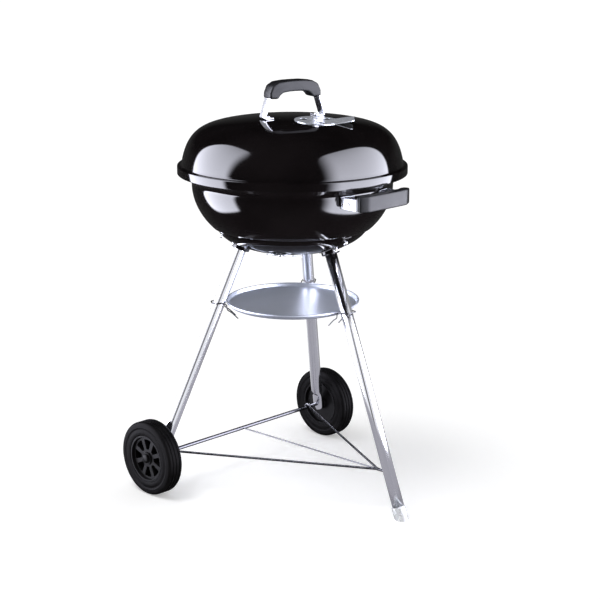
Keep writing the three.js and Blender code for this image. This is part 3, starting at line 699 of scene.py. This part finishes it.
def makeLidHandle():
    foot, shoulder, thickness = handle["foot"], handle["shoulder"], handle["thickness"]
    rest = 0.4 + thickness / 2
    half = [(foot - 20, 0, lidHeight(foot - 20) + rest), (foot, 0, lidHeight(foot) + rest), (shoulder, 0, 838),
            (shoulder - 8, 0, 855), (30, 0, 858)]
    route = rounded(half + [(-x, y, z) for x, y, z in reversed(half)], 5)
    strap = swept(route, roundedBar(handle["width"], thickness, 0.7), Vector((0, 1, 0)))
    build(moved(strap, turnZ(handle["turn"])), "lidHandleStrap", "lid", strapMetal,
          ["lid_handle_strap"], sharp=50)

    outer = [(-59.5, 833), (-59, 845), (-53, 859), (-40, 866), (-20, 868.1), (0, handle["top"])]
    outer += [(-x, z) for x, z in reversed(outer[:-1])]
    inner = [(40, 832), (35, 839), (28, 844), (14, 845.6), (0, 846)]
    inner += [(-x, z) for x, z in reversed(inner[:-1])]
    block = plate(outer + inner, handle["grip"])
    softened(block, 4, 5, 25)
    upright = turnZ(handle["turn"]) @ Matrix.Rotation(math.pi / 2, 4, "X") @ Matrix.Translation(
        (0, 0, -handle["grip"] / 2))
    build(moved(block, upright), "lidHandleGrip", "lid", nylon, ["lid_handle_grip"], sharp=50)
    for name, side in sides.items():
        height = lidHeight(handle["bolt"]) + thickness + 0.6
        seat = turnZ(handle["turn"]) @ Vector((side * handle["bolt"], 0, height))
        makeFastener(f"lidHandleBolt_{name}", f"lid_handle_bolt_{name}", "lid", seat, upAxis, 5, 3.4, depth=8)


makeLidDamper()
makeLidHandle()
damperPoint, damperWay = lidSeat(damper["offset"], damper["turn"])
makeFastener("lidDamperRivet", "lid_damper_rivet", "lid", damperPoint + damperWay * 2.6, damperWay, 6, 2.6, 3)
print("lid ready")


upperBowl = {"radius": 208.4, "top": 654.6, "depth": 134.5, "bulge": 0.751, "drop": 1.078}
lowerBowl = {"radius": 161.3, "top": 578, "depth": 65.2, "bulge": 0.859, "drop": 1.027}
bowl = {"wall": 1.6, "ledge": 567.3, "bead": (230.4, 689.8), "beadWire": 3.6}


def bowlPoint(part, turn):
    radius = part["radius"] * math.cos(turn) ** part["bulge"]
    return radius, part["top"] - part["depth"] * math.sin(turn) ** part["drop"]


def angleAt(part, height):
    return math.asin(((part["top"] - height) / part["depth"]) ** (1 / part["drop"]))


def onLowerBowl(radius, turn):
    # A point on the lower bowl's outside and the way out of the wall there.
    angle = math.acos((radius / lowerBowl["radius"]) ** (1 / lowerBowl["bulge"]))
    before, after = bowlPoint(lowerBowl, angle - 0.02), bowlPoint(lowerBowl, angle + 0.02)
    here = bowlPoint(lowerBowl, angle)
    way = Vector((before[1] - after[1], 0, after[0] - before[0])).normalized()
    return turnZ(turn) @ Vector((here[0], 0, here[1])), (turnZ(turn) @ way).normalized()


def bowlOutline(steps=40):
    low, high = angleAt(lowerBowl, bowl["ledge"]), angleAt(upperBowl, bowl["ledge"])
    outline = [(0, lowerBowl["top"] - lowerBowl["depth"])]
    outline += [bowlPoint(lowerBowl, math.pi / 2 - step / steps * (math.pi / 2 - low)) for step in range(1, steps + 1)]
    outline += [bowlPoint(upperBowl, high * (1 - step / steps)) for step in range(steps + 1)]
    return outline


bowlDamper = {"radius": 29, "thickness": 1.6, "offset": 92, "tab": 14, "reach": 46, "ring": 16, "hole": 6.5,
              "turns": (60, 180, 300)}


def bowlVents(seat, way):
    ring = [math.radians(turn) for turn in (0, 120, 240)]
    return [(seat @ Vector((bowlDamper["ring"] * math.cos(turn), bowlDamper["ring"] * math.sin(turn), 0)), way,
             bowlDamper["hole"], 6) for turn in ring]


def makeBowl():
    vents = []
    for turn in bowlDamper["turns"]:
        point, way = onLowerBowl(bowlDamper["offset"], turn)
        vents += bowlVents(seatOn(point, way), way)
    flare = [(208.4, 656), (208.8, 661), (212.5, 667.5), (219, 673.5), (226.6, 681)]
    rim = [(point.x, point.z) for point in rounded([(x, 0, z) for x, z in flare], 4)][1:]
    roll = arc(bowl["bead"], bowl["beadWire"], -100, 185, 20)
    build(spun(bowlOutline() + rim + roll), "bowlShell", "frame", enamel, ["bowl_shell"], sharp=60,
          wall=bowl["wall"], holes=vents)


makeBowl()


def makeBowlDamper(number, turn):
    point, way = onLowerBowl(bowlDamper["offset"], turn)
    half = bowlDamper["tab"] / 2
    start = math.degrees(math.asin(half / bowlDamper["radius"]))
    reach = bowlDamper["reach"] - 4
    outline = arc((0, 0), bowlDamper["radius"], start, 360 - start, 60)
    outline += arc((reach, -half + 4), 4, -90, 0, 4) + arc((reach, half - 4), 4, 0, 90, 4)
    disc = plate(outline, bowlDamper["thickness"])
    seat = seatOn(point + way * 0.4, way)
    build(moved(disc, seat), f"bowlDamper_{number}", f"bowl_damper_{number}", damperMetal,
          [f"bowl_damper_{number}"], sharp=30, edge=0.3, holes=bowlVents(seat, way))
    makeFastener(f"bowlDamperRivet_{number}", f"bowl_damper_rivet_{number}", "frame",
                 point + way * (bowlDamper["thickness"] + 0.8), way, 5, 2.2, depth=5)


for number, turn in enumerate(bowlDamper["turns"], 1):
    makeBowlDamper(number, turn)


sideHandle = {"z": 650, "arm": 69, "front": 268, "width": 22, "thickness": 2.5, "height": 32, "rivet": 14,
              "bolt": 226}


def makeSideHandle():
    z, arm, front, thickness = sideHandle["z"], sideHandle["arm"], sideHandle["front"], sideHandle["thickness"]
    wall = upperBowl["radius"] + 0.9 + thickness / 2
    foot = turnZ(sideHandle["rivet"] - 4.5) @ Vector((wall + 0.6, 0, z))
    heel = Vector((math.sqrt(wall ** 2 - arm ** 2) + 1.2, arm, z))
    half = [foot, heel, Vector((front - 20, arm, z)), Vector((front - 11, arm - 14, z))]
    route = rounded(half + [Vector((p.x, -p.y, p.z)) for p in reversed(half)], 6)
    strap = swept(route, roundedBar(sideHandle["width"], thickness, 0.7), upAxis)
    build(strap, "sideHandleBracket", "frame", strapMetal, ["side_handle_bracket"], sharp=50)

    back = [(front - 19, -48), (front - 19, 48)]
    side = [(front - 23, 55), (front - 22.5, 68), (front - 10, 73), (front, 55)]
    bow = [(front + 1.5 - 1.5 * (y / 55) ** 2, y) for y in range(44, -45, -11)]
    outline = back + side + bow + [(x, -y) for x, y in reversed(side)]
    block = plate(outline, sideHandle["height"])
    softened(block, 3.6, 5, 20)
    moved(block, Matrix.Translation((0, 0, z + 3.5 - sideHandle["height"] / 2)))
    build(block, "sideHandleGrip", "frame", nylon, ["side_handle_grip"], sharp=50)
    for name, way in sides.items():
        out = turnZ(way * sideHandle["rivet"]) @ Vector((1, 0, 0))
        seat = out * (upperBowl["radius"] + thickness + 1.8)
        seat.z = z
        makeFastener(f"sideHandleRivet_{name}", f"side_handle_rivet_{name}", "frame", seat, out, 5, 2.4, depth=6)
        seat = Vector((sideHandle["bolt"], way * (arm + thickness / 2 + 0.4), z))
        makeFastener(f"sideHandleBolt_{name}", f"side_handle_bolt_{name}", "frame", seat, Vector((0, way, 0)), 4.5,
                     2.6, depth=6)


makeSideHandle()
print("bowl ready")


leg = {"radius": 12.5, "wall": 1.2, "topRadius": 93.7, "topZ": 567, "start": 520.5, "foot": 315.7}
axle = {"x": -159, "z": 79.3, "radius": 4, "legY": 239, "reach": 278.95}


def onLeg(index, height):
    drop = (leg["topZ"] - height) / leg["topZ"]
    if index == 0:
        return Vector((leg["topRadius"] + (leg["foot"] - leg["topRadius"]) * drop, 0, height))
    side = 1 if index == 1 else -1
    top = turnZ(120 * side) @ Vector((leg["topRadius"], 0, leg["topZ"]))
    low = Vector((axle["x"], axle["legY"] * side, axle["z"]))
    return top.lerp(low, (leg["topZ"] - height) / (leg["topZ"] - axle["z"]))


def legWay(index):
    return (onLeg(index, leg["topZ"]) - onLeg(index, axle["z"])).normalized()


def legMetal(index):
    # Streaks run along the leg.
    turn = legWay(index).to_track_quat("Z", "Y").to_euler()
    return makeMetal(f"legMetal_{legNames[index]}", (0.78, 0.79, 0.83), (0.9, 0.91, 0.94), 0.09, 0.17,
                     (260, 260, 6), turn=tuple(turn), strength=0.1)


def rod(start, end, radius, segments=48, caps=False):
    piece = bmesh.new()
    way = end - start
    bmesh.ops.create_cone(piece, cap_ends=caps, segments=segments, radius1=radius, radius2=radius, depth=way.length,
                          matrix=seatOn(start.lerp(end, 0.5), way))
    return piece


def makeFrontLeg():
    metal = legMetal(0)
    shiny.append(metal)
    tube = rod(onLeg(0, 8.1), onLeg(0, leg["start"]), leg["radius"], 64)
    build(tube, "legFront", "frame", metal, ["leg_front"], sharp=40, wall=leg["wall"])
    way = legWay(0)
    cap = rod(onLeg(0, -20), onLeg(0, 25), leg["radius"] + 1.9, 64, caps=True)
    bmesh.ops.bisect_plane(cap, geom=cap.verts[:] + cap.edges[:] + cap.faces[:], plane_co=(0, 0, 0),
                           plane_no=(0, 0, -1), clear_outer=True)
    bmesh.ops.holes_fill(cap, edges=[edge for edge in cap.edges if edge.is_boundary])
    lid = max(cap.faces, key=lambda face: face.calc_center_median().z if len(face.verts) > 8 else -1)
    bmesh.ops.inset_region(cap, faces=[lid], thickness=1.5)
    well = bmesh.ops.extrude_face_region(cap, geom=[lid])["geom"]
    bmesh.ops.translate(cap, vec=way * -17, verts=[v for v in well if isinstance(v, bmesh.types.BMVert)])
    if lid.is_valid:
        cap.faces.remove(lid)
    softened(cap, 0.7, 2, 50)
    build(cap, "footCap", "frame", clearPlastic, ["foot_cap"], sharp=40)


def makeWheelLeg(index):
    # The tube's lower end is pressed flat for the axle.
    metal = legMetal(index)
    shiny.append(metal)
    pivot, way = onLeg(index, axle["z"]), legWay(index)
    top = (onLeg(index, leg["start"]) - pivot).length
    across = way.cross(Vector((0, 1, 0))).normalized()
    thin = across.cross(way)
    stand = Matrix((across, thin * -1, way)).transposed().to_4x4()
    heights = [-15.4, -15, -14, -12, -9, -5, 0, 10, 20, 28, 31, 34, 37, 40, 44, 60, top]
    piece = bmesh.new()
    edges = None
    for height in heights:
        press = min(max((height - 26) / 18, 0), 1)
        press = press * press * (3 - 2 * press)
        end = math.sqrt(max(1 - (min(height, 0) / 15.6) ** 2, 0.02))
        wide = 15 * end + (leg["radius"] - 15 * end) * press
        thick = 4 + (leg["radius"] - 4) * press
        shape = Matrix.Translation(pivot + way * height) @ stand @ Matrix.Diagonal((wide, thick, 1, 1))
        ring = bmesh.ops.create_circle(piece, cap_ends=False, segments=64, radius=1, matrix=shape)["verts"]
        loop = list({edge for vert in ring for edge in vert.link_edges})
        if edges:
            bmesh.ops.bridge_loops(piece, edges=edges + loop)
        else:
            bmesh.ops.edgeloop_fill(piece, edges=loop)
        edges = loop
    bmesh.ops.edgeloop_fill(piece, edges=edges)
    bmesh.ops.recalc_face_normals(piece, faces=piece.faces)
    name = legNames[index]
    build(piece, f"leg_{name}_tube", "frame", metal, [f"leg_{name}"], sharp=40)


def makeAxle():
    end = axle["reach"]
    bar = rod(Vector((axle["x"], -end, axle["z"])), Vector((axle["x"], end, axle["z"])), axle["radius"], 40, True)
    softened(bar, 0.8, 3, 50)
    build(bar, "axleRod", "frame", shadedAxleChrome, ["axle"], sharp=40)


makeFrontLeg()
makeWheelLeg(1)
makeWheelLeg(2)
makeAxle()


bracket = {"half": 20, "inner": 96, "outer": 157, "lift": 3.4, "bolt": 125.3, "rivet": 150}


def makeLegBracket(index):
    # A pressed socket: a plate that hugs the bowl, and a collar round the leg's end.
    turn, name = legTurns[index], legNames[index]
    way = legWay(index)
    piece = bmesh.new()
    steps, rows = 16, 10
    lines = []
    for row in range(rows + 1):
        radius = bracket["inner"] + (bracket["outer"] - bracket["inner"]) * row / rows
        half = bracket["half"] - 7 * max(0, (radius - 128) / 29) ** 1.5
        line = []
        for step in range(steps + 1):
            y = half * (2 * step / steps - 1)
            reach = math.hypot(radius, y)
            point, out = onLowerBowl(min(reach, 160), turn + math.degrees(math.atan2(y, radius)))
            line.append(piece.verts.new(point + out * 1.0))
        lines.append(line)
    for low, high in zip(lines, lines[1:]):
        for step in range(steps):
            piece.faces.new((low[step], low[step + 1], high[step + 1], high[step]))
    bmesh.ops.recalc_face_normals(piece, faces=piece.faces)
    down = sum((face.normal.z for face in piece.faces))
    if down > 0:
        bmesh.ops.reverse_faces(piece, faces=piece.faces)
    bmesh.ops.solidify(piece, geom=piece.faces[:], thickness=2.4)
    bmesh.ops.recalc_face_normals(piece, faces=piece.faces)
    softened(piece, 0.9, 3, 50)
    start = onLeg(index, leg["start"]) + way * 0.4
    collar = rod(start, start + way * 26, 19, 64, caps=True)
    softened(collar, 2.5, 4, 50)
    spigot = rod(onLeg(index, leg["start"] - 34), start + way * 2, leg["radius"] - leg["wall"] - 0.4, 48, True)
    joined(piece, collar, spigot)
    build(piece, f"legBracket_{name}", "frame", enamel, [f"leg_bracket_{name}"], sharp=40)
    for label, radius, head in (("leg_bolt", bracket["bolt"], 6.5), ("leg_rivet", bracket["rivet"], 5)):
        point, out = onLowerBowl(radius, turn)
        makeFastener(f"{label}Head_{name}", f"{label}_{name}", "frame", point + out * 3.8, out, head, 3.2, 3, 8)


for index in range(3):
    makeLegBracket(index)
print("legs ready")


# A wheel is shaped round z with its outer face up, then stood on the axle.
wheel = {"radius": 79.3, "width": 37.5, "middle": 262.45, "hub": 49.8, "dish": 46.4}


def wheelPlace(side):
    turn = Matrix.Rotation(math.radians(-90 * side), 4, "X")
    return Matrix.Translation((axle["x"], side * wheel["middle"], axle["z"])) @ turn


def makeTyre(name, side):
    half, radius = wheel["width"] / 2, wheel["radius"]
    inner = wheel["hub"] + 0.4
    wall = [(inner, half - 2), (inner + 1.2, half - 0.8), (54, half - 0.3), (60, half), (62, half - 0.9), (65, half - 0.9),
            (67, half), (71, half - 0.3)] + arc((radius - 6.5, half - 7), 6.5, 75, 5, 8)
    grooves = []
    for middle in (8.5, 0, -8.5):
        grooves += [(radius, middle + 1.7), (radius - 1.6, middle + 1.1), (radius - 1.6, middle - 1.1),
                    (radius, middle - 1.7)]
    outline = wall + grooves + [(r, -z) for r, z in reversed(wall)]
    piece = spun(outline, 160, closed=True)
    moved(piece, wheelPlace(side))
    build(piece, f"wheelTyre_{name}", f"wheel_{name}", tyrePlastic, [f"wheel_tyre_{name}"], sharp=28)


def makeHub(name, side):
    half, hub, dish = wheel["width"] / 2, wheel["hub"], wheel["dish"]
    face, bore = half - 7, axle["radius"] + 0.4
    outline = [(bore, -12.5), (12, -12.5), (13, -10.5), (dish - 1, -10.5), (dish, -half + 1), (hub, -half + 1),
               (hub, half - 1.2), (dish, half - 1.2), (dish - 2, face), (41, face), (19, face), (14, face),
               (12.5, half - 3.6), (bore, half - 3.6)]
    piece = spun(outline, 128, closed=True)
    count, window = 8, math.radians(14.0625)
    sector = math.tau / count
    near = lambda value, other: abs(value - other) < 0.01
    for vert in piece.verts:
        radius = math.hypot(vert.co.x, vert.co.y)
        if near(vert.co.z, face) and (near(radius, 19) or near(radius, 41)):
            angle = math.atan2(vert.co.y, vert.co.x)
            middle = round(angle / sector) * sector
            off = angle - middle
            target = math.radians(10.7) if near(radius, 19) else math.radians(15.7)
            if abs(off) <= window + 0.001:
                new = off * target / window
            else:
                new = math.copysign(target + (abs(off) - window) * (sector / 2 - target) / (sector / 2 - window), off)
            vert.co.x, vert.co.y = radius * math.cos(middle + new), radius * math.sin(middle + new)
    panes = []
    for pane in piece.faces:
        centre = pane.calc_center_median()
        radius = math.hypot(centre.x, centre.y)
        angle = math.atan2(centre.y, centre.x)
        off = abs(angle - round(angle / sector) * sector)
        if near(centre.z, face) and 20 < radius < 40 and off < math.radians(13.4):
            panes.append(pane)
    made = bmesh.ops.extrude_face_region(piece, geom=panes)["geom"]
    bmesh.ops.translate(piece, vec=(0, 0, -12), verts=[v for v in made if isinstance(v, bmesh.types.BMVert)])
    bmesh.ops.delete(piece, geom=[pane for pane in panes if pane.is_valid], context="FACES_ONLY")
    corners = [edge for edge in piece.edges if edge.is_manifold and edge.calc_face_angle() > math.radians(50)
               and abs(edge.verts[0].co.z - edge.verts[1].co.z) > 11 and 15 < edge.verts[0].co.xy.length < 43]
    bmesh.ops.bevel(piece, geom=corners, offset=2.2, segments=4, profile=0.5, affect="EDGES", material=-1)
    moved(piece, wheelPlace(side))
    build(piece, f"wheelHub_{name}", f"wheel_{name}", hubPlastic, [f"wheel_hub_{name}"], sharp=32,
          edge=0.6)


def makeHubCap(name, side):
    half = wheel["width"] / 2
    outline = [(0, half + 1.6), (3, half + 1.55), (6, half + 1.3), (8.4, half + 0.5), (9.6, half - 0.8),
               (10, half - 3.1), (4.4, half - 3.1), (4.4, half - 1), (0, half - 1)]
    piece = moved(spun(outline, 48), wheelPlace(side))
    build(piece, f"hubCap_{name}", "frame", hubPlastic, [f"hub_cap_{name}"], sharp=50)


def makeWasher(name, side):
    outline = [(4.4, -16.2), (7.5, -16.2), (7.5, -13), (4.4, -13)]
    piece = moved(spun(outline, 40, closed=True), wheelPlace(side))
    build(piece, f"axleWasher_{name}", "frame", wireMetal, [f"axle_washer_{name}"], sharp=40, edge=0.3)


for name, side in sides.items():
    makeTyre(name, side)
    makeHub(name, side)
    makeHubCap(name, side)
    makeWasher(name, side)
print("wheels ready")


tray = {"radius": 141, "top": 407.6, "depth": 21, "wall": 1.4}


def makeTray():
    radius, top, depth = tray["radius"], tray["top"], tray["depth"]
    corners = [(0, top - depth - 2), (70, top - depth - 1.4), (104, top - depth + 2.6), (126, top - 12.5),
               (135, top - 10), (radius - 3, top - 3)]
    dish = [(p.x, p.z) for p in rounded([(r, 0, z) for r, z in corners], 16, 10)]
    lip = arc((radius - 2.2, top - 2.2), 2.2, -40, 190, 14)
    build(spun(dish + lip), "ashTray", "frame", trayMetal, ["ash_tray"], sharp=60, wall=tray["wall"])


def makeTrayClip(index):
    name, radius = legNames[index], 1.25
    side = leg["radius"] + radius + 0.9
    height = tray["top"] + 1
    centre = onLeg(index, height)
    legRadius = math.hypot(centre.x, centre.y)
    behind = legRadius + leg["radius"] / 0.93 + radius + 1.8
    half = [(120, side, tray["top"] - 33), (134, side, tray["top"] - 19), (tray["radius"] + 2.8, side, tray["top"] - 13),
            (tray["radius"] + 2.8, side, height - 2), (legRadius, side, height), (behind, side - 2, height)]
    route = rounded(half + [(x, -y, z) for x, y, z in reversed(half)], 5)
    clip = swept(route, circle(radius), Vector((0.3, 0.2, 1)))
    moved(clip, turnZ(math.degrees(math.atan2(centre.y, centre.x))))
    build(clip, f"trayClip_{name}", "frame", wireMetal, [f"tray_clip_{name}"], sharp=50)


rack = {"wire": 2.5, "rib": 1.6, "y": 206, "tipX": 245, "tipZ": 91}


def makeRack():
    # Two wires hook over the axle and meet at the front leg, with a thin rib between them.
    hook = axle["radius"] + rack["wire"] + 0.7
    end = onLeg(0, rack["tipZ"])
    pieces = []
    for side in sides.values():
        over = [Vector((axle["x"] + hook * math.cos(a), side * rack["y"], axle["z"] + hook * math.sin(a)))
                for a in (math.pi * step / 12 for step in range(12, -1, -1))]
        route = over + [Vector((rack["tipX"], side * 2, rack["tipZ"])),
                        Vector((end.x - leg["radius"] - 2.5, 0, rack["tipZ"]))]
        pieces.append(swept(route, circle(rack["wire"]), Vector((0, 1, 0.1))))
    start = Vector((axle["x"] + axle["radius"] + rack["rib"] + 0.7, 0, axle["z"]))
    pieces.append(swept([start, Vector((rack["tipX"] + 4, 0, rack["tipZ"]))], circle(rack["rib"]), Vector((0, 1, 0))))
    build(joined(*pieces), "wireRack", "frame", wireMetal, ["wire_rack"], sharp=50)


grates = [
    {"name": "cookingGrate", "node": "cooking_grate", "body": "cooking_grate", "radius": 200, "z": 653, "pitch": 14},
    {"name": "charcoalGrate", "node": "charcoal_grate", "body": "charcoal_grate", "radius": 160.5, "z": 571.8,
     "pitch": 15},
]


def makeGrate(name, node, body, radius, z, pitch):
    ring = spun(arc((radius, z), 2.5, 0, 324, 9), 96, closed=True)
    bars = []
    count = int((radius - 4) / pitch)
    for number in range(-count, count + 1):
        y = number * pitch
        reach = math.sqrt(radius ** 2 - y ** 2)
        bars.append(rod(Vector((-reach, y, z + 3)), Vector((reach, y, z + 3)), 1.9, 10, True))
    for x in (-0.45 * radius, 0.45 * radius):
        reach = math.sqrt(radius ** 2 - x ** 2)
        bars.append(rod(Vector((x, -reach, z)), Vector((x, reach, z)), 2.5, 12, True))
    build(joined(ring, *bars), name, body, grateMetal, [node], sharp=50)


def makeGrateSupport(number):
    outline = [(203.4, -11), (203.4, -3), (188.4, -3), (188.4, -4.9), (201.4, -4.9), (201.4, -11)]
    tab = plate(outline, 16)
    softened(tab, 0.5, 2, 50)
    upright = turnZ(45 + 90 * (number - 1)) @ Matrix.Translation((0, 8, 653)) @ Matrix.Rotation(math.pi / 2, 4, "X")
    build(moved(tab, upright), f"grateSupport_{number}", "frame", wireMetal,
          [f"grate_support_{number}"], sharp=40)


makeTray()
for index in range(3):
    makeTrayClip(index)
makeRack()
for grate in grates:
    makeGrate(**grate)
for number in range(1, 5):
    makeGrateSupport(number)
print("tray, rack and grates ready")
